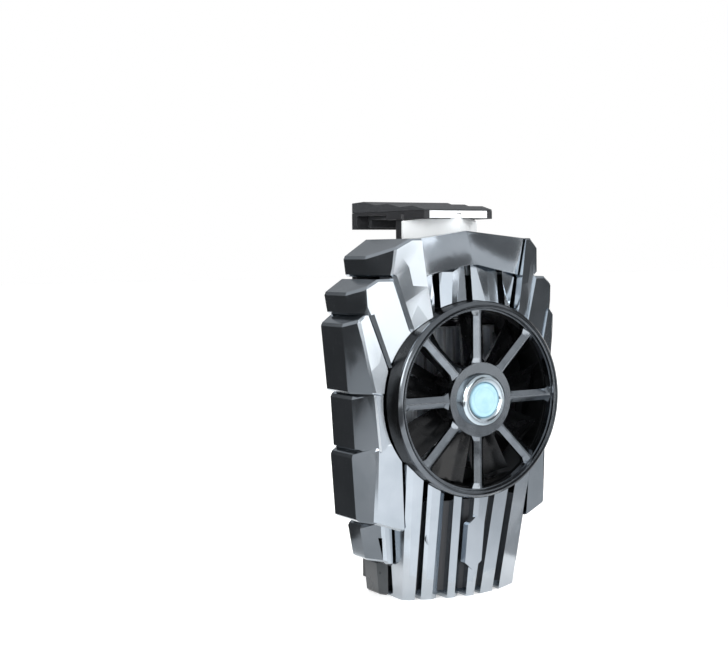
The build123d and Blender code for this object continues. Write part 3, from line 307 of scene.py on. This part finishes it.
def pick_edges(piece, wanted):
    """Selects, in edit mode, the outer corners whose two face normals are wanted."""
    bpy.ops.object.mode_set(mode="EDIT")
    bpy.ops.mesh.select_mode(type="EDGE")
    bpy.ops.mesh.select_all(action="DESELECT")
    mesh = bmesh.from_edit_mesh(piece.data)
    for edge in mesh.edges:
        if len(edge.link_faces) == 2 and edge.is_convex:
            one, two = (face.normal for face in edge.link_faces)
            if wanted(one, two) or wanted(two, one):
                edge.select_set(True)
    bmesh.update_edit_mesh(piece.data)


# Corners flatter than so many degrees are never rounded
least_rounded_angle = 12


def finished(piece, node_name, material, edge_mm=0.0, angle=28):
    """Rounds the corners, keeps wide faces flat, and lets the piece stand for its node."""
    bpy.context.view_layer.objects.active = piece
    if edge_mm:
        rounding = piece.modifiers.new("edges", "BEVEL")
        rounding.width = edge_mm * MM
        rounding.segments = 2
        rounding.limit_method = "ANGLE"
        rounding.angle_limit = math.radians(max(angle, least_rounded_angle))
        rounding.use_clamp_overlap = True
        bpy.ops.object.modifier_apply(modifier="edges")
    bpy.ops.object.shade_smooth_by_angle(angle=math.radians(angle))
    flatten = piece.modifiers.new("flat_faces", "WEIGHTED_NORMAL")
    flatten.keep_sharp = True
    bpy.ops.object.modifier_apply(modifier="flat_faces")
    piece.data.materials.clear()
    piece.data.materials.append(material)
    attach(piece, bodies[node_name])
    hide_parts(node_name)


def moulding(node_name, material, edge_mm=0.0, angle=28):
    """A CAD node's own shape with its corners rounded."""
    finished(copied(node_name), node_name, material, edge_mm, angle)


bodies = {}
for body, names in frame["record"]["behaviour"]["bodies"].items():
    for name in names:
        bodies[name] = body

# The foot of each side cover is coloured dark grey: painted shade, as the foot stands in shade at the bottom
# of the cover
foot_painted_shade = speckled("foot_painted_shade_grey", 3.0, ("#34383B", "#3E4245"), (0.26, 0.34))
foot_top = -31.9 * MM

# Each armour step has a flat chamfer along its corners, and the two long
# grooves across the shoulder have one sloping side.

# How far a face's normal may or must look forwards, sideways, down or inwards
looks_forwards = -0.8
looks_sideways = 0.9
hardly_forwards = 0.12
leans_down = -0.2
hardly_inwards = 0.1
sharp_corner = math.radians(35)


def groove_edge(one, two, side):
    """Whether the first face looks forwards and the second one sideways and a little down."""
    sideways = two.x * side > looks_sideways and abs(two.y) < hardly_forwards
    return one.y < looks_forwards and sideways and two.z < leans_down


def outer_corner(one, two, side):
    """Whether both faces are outer ones and meet at a sharp corner."""
    outer = all(face.x * side > -hardly_inwards and face.y < hardly_inwards for face in (one, two))
    return outer and one.angle(two) > sharp_corner


facet_angle = 7
armour_edge = 0.12
chamfer_width = 0.42
groove_in = 0.7125 * MM
groove_up = 0.225 * MM
notch_root = (22.037 * MM, 16.727 * MM)
notch_reach = 0.1 * MM
notch_shift = 0.3 * MM
for name, side in (("side_cover_left", -1), ("side_cover_right", 1)):
    piece = copied(name)
    # The notch under the second step all but cuts through the wall, so its root moves outwards
    bpy.ops.object.mode_set(mode="EDIT")
    bpy.ops.mesh.select_mode(type="VERT")
    bpy.ops.mesh.select_all(action="DESELECT")
    mesh = bmesh.from_edit_mesh(piece.data)
    for corner in mesh.verts:
        if math.hypot(corner.co.x * side - notch_root[0], corner.co.z - notch_root[1]) < notch_reach:
            corner.select_set(True)
    bmesh.update_edit_mesh(piece.data)
    bpy.ops.transform.translate(value=(notch_shift * side, 0.0, 0.0))
    bpy.ops.object.mode_set(mode="OBJECT")
    pick_edges(piece, lambda one, two: groove_edge(one, two, side))
    bpy.ops.transform.translate(value=(-groove_in * side, 0.0, groove_up))
    bpy.ops.object.mode_set(mode="OBJECT")
    pick_edges(piece, lambda one, two: outer_corner(one, two, side))
    bpy.ops.mesh.bevel(offset=chamfer_width * MM, segments=1, affect="EDGES", clamp_overlap=False)
    bpy.ops.object.mode_set(mode="OBJECT")
    finished(piece, name, gunmetal, armour_edge, facet_angle)
    # Faces below the foot's top take the painted shade
    piece.data.materials.append(foot_painted_shade)
    for face in piece.data.polygons:
        if face.center.z < foot_top:
            face.material_index = 1

# The crown's panels twist a little, so they keep nearly all of the CAD's facets
cover_edge = 0.16
twist_angle = 0.02
finished(copied("crown_cover", twist_angle), "crown_cover", gunmetal, cover_edge, facet_angle)
moulding("column_cover", gunmetal, cover_edge, facet_angle)

# The ring round the fan is a black moulding that stands up from the covers,
# and a polished ring is pressed onto its front. Both are turned shapes.
seam_distance = 0.002 * MM


def turned(node_name, profile_mm, material, steps=160):
    """Ring or cap spun about the fan's axis from a closed outline of (radius, y)."""
    bpy.ops.object.select_all(action="DESELECT")
    bpy.ops.mesh.primitive_circle_add(vertices=len(profile_mm), radius=MM)
    piece = bpy.context.object
    piece.name = "dressed_" + node_name
    for corner, (radius, y) in zip(piece.data.vertices, profile_mm):
        corner.co = (radius * MM, y * MM, 0)
    bpy.ops.object.mode_set(mode="EDIT")
    bpy.ops.mesh.select_all(action="SELECT")
    bpy.ops.mesh.spin(steps=steps, angle=2 * math.pi, center=(0, 0, 0), axis=(0, 1, 0))
    bpy.ops.mesh.select_all(action="SELECT")
    bpy.ops.mesh.remove_doubles(threshold=seam_distance)
    bpy.ops.mesh.normals_make_consistent(inside=False)
    bpy.ops.object.mode_set(mode="OBJECT")
    bpy.ops.object.shade_smooth_by_angle(angle=sharp_corner)
    piece.data.materials.append(material)
    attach(piece, bodies[node_name])
    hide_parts(node_name)


# Black ABS with a half gloss, as it leaves a polished mould
black_abs = speckled("black_moulded_abs", 4.0, ("#060708", "#0C0D0E"), (0.20, 0.28), specular=0.22)

# Dark chrome, buffed: as smooth as the covers and darker
dark_chrome = speckled("dark_polished_chrome", 3.0, ("#5E6266", "#6C7074"), (0.12, 0.18), metal=1.0)

bezel_low, bezel_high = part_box("bezel_ring")
ring_outer = bezel_high.x / MM
ring_inner = 18.2
turned("bezel_ring", [
    (ring_inner, bezel_high.y / MM), (ring_outer, bezel_high.y / MM), (ring_outer, bezel_low.y / MM),
    (ring_inner, bezel_low.y / MM)], black_abs)
trim_low, trim_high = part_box("rim_trim")
trim_front = trim_low.y / MM
trim_bore = 17.56
trim_step_y = -18.5
turned("rim_trim", [
    (trim_bore, trim_high.y / MM), (ring_inner, trim_high.y / MM), (ring_inner, trim_step_y),
    (ring_outer, trim_step_y), (ring_outer, trim_front + 0.66), (ring_outer - 0.06, trim_front + 0.54),
    (ring_outer - 0.56, trim_front + 0.06), (ring_outer - 0.66, trim_front), (18.30, trim_front + 0.02),
    (ring_inner, trim_front + 0.26), (18.06, trim_front + 0.30), (17.96, trim_front + 0.12),
    (17.80, trim_front + 0.08), (17.64, trim_front + 0.14), (trim_bore, trim_front + 0.34)],
    dark_chrome)

# The guard is plated too: a rim, eight spokes with flared feet and bevelled
# edges, and a cup that carries the lamp. Its plating is darker than the covers'.
spoke_plating = speckled("plated_spokes", 2.2, ("#70757A", "#80858A"), (0.14, 0.20), metal=1.0)
guard_edge = 0.16
moulding("fan_guard", spoke_plating, guard_edge, angle=20)

# The lamp in the middle: a bright ring round a milky cap, lit from behind by
# four white lamp chips on a small round board.
bright_chrome = speckled("bright_chrome_plating", 4.0, ("#B4C0C6", "#C8D2D8"), (0.09, 0.16), metal=1.0)

# Milky acrylic that glows pale blue, a little cloudily
milky_cap, tree, shader = principled("lit_milky_acrylic")
place = node(tree, "ShaderNodeTexCoord").outputs["Object"]
cloud_size = 1.4
cloud = node(tree, "ShaderNodeTexNoise", Vector=place, Scale=1 / (cloud_size * MM), Detail=3.0)
follow(tree, shader, cloud.outputs["Fac"], ("#8CB4C6", "#A6C8D6"), (0.10, 0.16))
glow = node(tree, "ShaderNodeMix", {"data_type": "RGBA"},
            i0=cloud.outputs["Fac"], i6=linear("#96CCE4"), i7=linear("#C4E8F6"))
tree.links.new(glow.outputs[2], shader.inputs["Emission Color"])
cap_glow = 0.20
cap_coat = 0.6
shader.inputs["Emission Strength"].default_value = cap_glow
shader.inputs["Coat Weight"].default_value = cap_coat
cap_low, cap_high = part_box("hub_bezel")
cap_front = cap_low.y / MM
cap_rear = cap_high.y / MM
cap_bore = 3.34
cap_radius = 5.1
lamp_steps = 96
turned("hub_bezel", [
    (cap_bore, cap_rear), (cap_radius, cap_rear), (cap_radius, cap_front + 0.7), (4.98, cap_front + 0.36),
    (4.7, cap_front + 0.12), (4.35, cap_front), (3.95, cap_front + 0.05), (3.6, cap_front + 0.22),
    (3.4, cap_front + 0.46), (cap_bore, cap_front + 0.7)], bright_chrome, lamp_steps)
lens_low, lens_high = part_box("light_lens")
lens_front = lens_low.y / MM
lens_radius = 3.28
axis_radius = 0.001
turned("light_lens", [
    (axis_radius, lens_high.y / MM), (lens_radius, lens_high.y / MM), (lens_radius, lens_front + 0.3),
    (3.1, lens_front + 0.12), (2.6, lens_front + 0.08), (2.45, lens_front + 0.16), (2.3, lens_front + 0.06),
    (1.4, lens_front + 0.02), (axis_radius, lens_front)], milky_cap, lamp_steps)

# The impeller is one black glossy moulding, and turns on a steel shaft in a
# sintered bronze sleeve. A ferrite ring is pressed into its hub.
blade_plastic = speckled("black_fan_plastic", 2.6, ("#08090A", "#0E0F11"), (0.20, 0.30), 0.004, specular=0.3)
moulding("impeller", blade_plastic, edge_mm=0.08, angle=40)


def finish_node(node_name, material):
    """A CAD node whose shape is right keeps it and gets its finish."""
    mesh = frame["nodes"][node_name].data
    mesh.materials.clear()
    mesh.materials.append(material)


# Drawn and ground steel: fine lines along the stock
ground_steel = speckled("ground_steel", 0.5, ("#A4A6A8", "#BEC0C2"), (0.22, 0.36),
                        stretch=(1, 0.1, 1), metal=1.0)
finish_node("rotor_shaft", ground_steel)

# Bronze powder, pressed and sintered, so it has pores
bronze = speckled("sintered_bronze", 0.25, ("#8E6A34", "#C09A5A"), (0.35, 0.55), 0.01, metal=1.0)
finish_node("bearing_sleeve", bronze)

# Ferrite powder in resin
ferrite = speckled("bonded_ferrite", 0.3, ("#2A2826", "#3A3734"), (0.55, 0.75), 0.008)
finish_node("rotor_magnet", ferrite)

# The motor's stator is a stack of thin steel sheets, with enamelled copper
# wire wound round its four poles.
sheet_steel, tree, shader = principled("stacked_sheet_steel")
shader.inputs["Metallic"].default_value = 1.0
place = node(tree, "ShaderNodeTexCoord").outputs["Object"]
sheet_thickness = 0.35
# Length of one wave of Blender's wave texture at scale 1
wave_length = math.pi / 10
stack = node(tree, "ShaderNodeTexWave", {"bands_direction": "Y"}, Vector=place,
             Scale=wave_length / (sheet_thickness * MM))
follow(tree, shader, stack.outputs["Fac"], ("#5E6062", "#8C8E90"), (0.3, 0.5), 0.02)
finish_node("stator_core", sheet_steel)

# Enamelled copper, in close turns
copper_wire, tree, shader = principled("enamelled_copper_wire")
shader.inputs["Metallic"].default_value = 1.0
place = node(tree, "ShaderNodeTexCoord").outputs["Object"]
wire_thickness = 0.2
# The turns are dark between them and bright on their crowns: painted shade in the creases and a painted
# highlight on the round wire
turns = node(tree, "ShaderNodeTexWave", {"bands_direction": "DIAGONAL"}, Vector=place,
             Scale=wave_length / (wire_thickness * MM))
follow(tree, shader, turns.outputs["Fac"], ("#7A3A14", "#D07A3C"), (0.22, 0.4), 0.05)
finish_node("stator_coils", copper_wire)

# Boards are glass-fibre laminate under black solder mask, with thin tracks
# that lift the mask a little.
solder_mask, tree, shader = principled("black_solder_mask")
place = node(tree, "ShaderNodeTexCoord").outputs["Object"]
track_pitch = 1.1
# Rows of Blender's brick texture in one unit at scale 1
brick_rows = 4
tracks = node(tree, "ShaderNodeTexBrick", {"offset": 0.5}, Vector=place,
              Scale=1 / (track_pitch * MM * brick_rows), Mortar_Size=0.05)
follow(tree, shader, tracks.outputs["Fac"], ("#0C0D0E", "#1C1F20"), (0.28, 0.4), 0.03)
for name in ("motor_board", "led_board", "control_board"):
    finish_node(name, solder_mask)

# White lamp chips, whose phosphor glows
lamp_chip, tree, shader = principled("white_lamp_chip")
place = node(tree, "ShaderNodeTexCoord").outputs["Object"]
grain_size = 0.6
phosphor = node(tree, "ShaderNodeTexNoise", Vector=place, Scale=1 / (grain_size * MM), Detail=2.0)
follow(tree, shader, phosphor.outputs["Fac"], ("#E6F4F6", "#F6FCFC"), (0.3, 0.4))
glow = node(tree, "ShaderNodeMix", {"data_type": "RGBA"},
            i0=phosphor.outputs["Fac"], i6=linear("#BFEFF8"), i7=linear("#FFFFFF"))
tree.links.new(glow.outputs[2], shader.inputs["Emission Color"])
chip_glow = 0.8
shader.inputs["Emission Strength"].default_value = chip_glow
finish_node("leds", lamp_chip)

# Moulded epoxy with a silica filler
chip_resin = speckled("black_chip_resin", 0.2, ("#0F0F10", "#1E1E20"), (0.5, 0.7), 0.006)
finish_node("board_parts", chip_resin)

# The sliding jaw: a black moulding with a tongue, a bright chevron on its
# stem, a bright strip on the hook and a soft cap on top.

# Black ABS from a spark-eroded mould, so it is matt
matte_abs = speckled("black_textured_abs", 0.3, ("#232426", "#2E2F32"), (0.42, 0.56), 0.008)
moulding("upper_jaw", matte_abs, edge_mm=0.25)

# Gloss white ABS, which hardly shows its mould's flow
white_abs = speckled("white_gloss_abs", 5.0, ("#EEF2F4", "#F6F9FA"), (0.16, 0.22))
moulding("jaw_stem_cover", white_abs, edge_mm=0.15)
moulding("jaw_trim", white_abs, edge_mm=0.12)

# Silicone rubber with a dry, slightly dusty skin
soft_rubber = speckled("soft_touch_silicone", 0.5, ("#2B2D30", "#3A3C3F"), (0.5, 0.68), 0.01)
moulding("jaw_grip", soft_rubber, edge_mm=0.3)
for name in ("upper_jaw_pad", "lower_jaw_pad", "rear_pads"):
    moulding(name, soft_rubber, edge_mm=0.2)

# The back is one black moulding with the fixed jaw screwed to its lower end.
# The liner behind the column's slots and the fan's frame are black too.
moulding("rear_frame", matte_abs, edge_mm=0.15)
moulding("vent_liner", matte_abs)
moulding("lower_jaw", matte_abs, edge_mm=0.3)
moulding("fan_frame", black_abs, edge_mm=0.12)

# Screws and pins are dark zinc plated steel, and the screws have a cross
# recess. The plating is matt and a little uneven.
zinc_steel = speckled("dark_zinc_screws", 0.4, ("#5A5C60", "#7A7C80"), (0.25, 0.42), metal=1.0)
for name in ("cover_screws", "lower_jaw_screws", "fan_screws", "heatsink_screws", "spring_pins"):
    moulding(name, zinc_steel, edge_mm=0.06)

# The return springs are close-wound steel wire, drawn here as wound sleeves
# because the tongue hides them.
spring_wire, tree, shader = principled("bright_spring_wire")
shader.inputs["Metallic"].default_value = 1.0
place = node(tree, "ShaderNodeTexCoord").outputs["Object"]
wire_pitch = 0.45
# Each turn is dark where it meets the next and bright on its crown: painted shade in the creases and a
# painted highlight on the wire
coils = node(tree, "ShaderNodeTexWave", {"bands_direction": "Z"}, Vector=place,
             Scale=wave_length / (wire_pitch * MM))
follow(tree, shader, coils.outputs["Fac"], ("#6C6E70", "#C4C6C8"), (0.2, 0.35), 0.12)
finish_node("jaw_springs", spring_wire)

# The cooling stack: a grey thermal pad on an aluminium plate, a white
# thermoelectric module and a finned aluminium block.

# Silicone filled with ceramic powder
pad_silicone = speckled("grey_thermal_pad", 0.6, ("#6E767E", "#868E96"), (0.6, 0.8), 0.02)
moulding("contact_pad", pad_silicone, edge_mm=0.2)

# Bare aluminium with the cutter's fine lines
milled_aluminium = speckled("milled_aluminium", 0.7, ("#B4B8BC", "#D0D4D8"), (0.28, 0.45), 0.01,
                            stretch=(1, 1, 0.08), metal=1.0)
moulding("cold_plate", milled_aluminium, edge_mm=0.12)
moulding("heatsink", milled_aluminium, edge_mm=0.1)

# Fired alumina, white and slightly grainy
alumina = speckled("white_alumina", 0.8, ("#DCDCD6", "#EEEEEA"), (0.45, 0.6))
finish_node("peltier_module", alumina)

# The power inlet is a drawn steel shell in the column's lower end. Drawing
# leaves fine lines along it.
drawn_shell = speckled("drawn_steel_shell", 0.4, ("#AEB1B4", "#C8CBCE"), (0.2, 0.34),
                       stretch=(1, 1, 0.1), metal=1.0)
moulding("usb_c_port", drawn_shell, edge_mm=0.05)
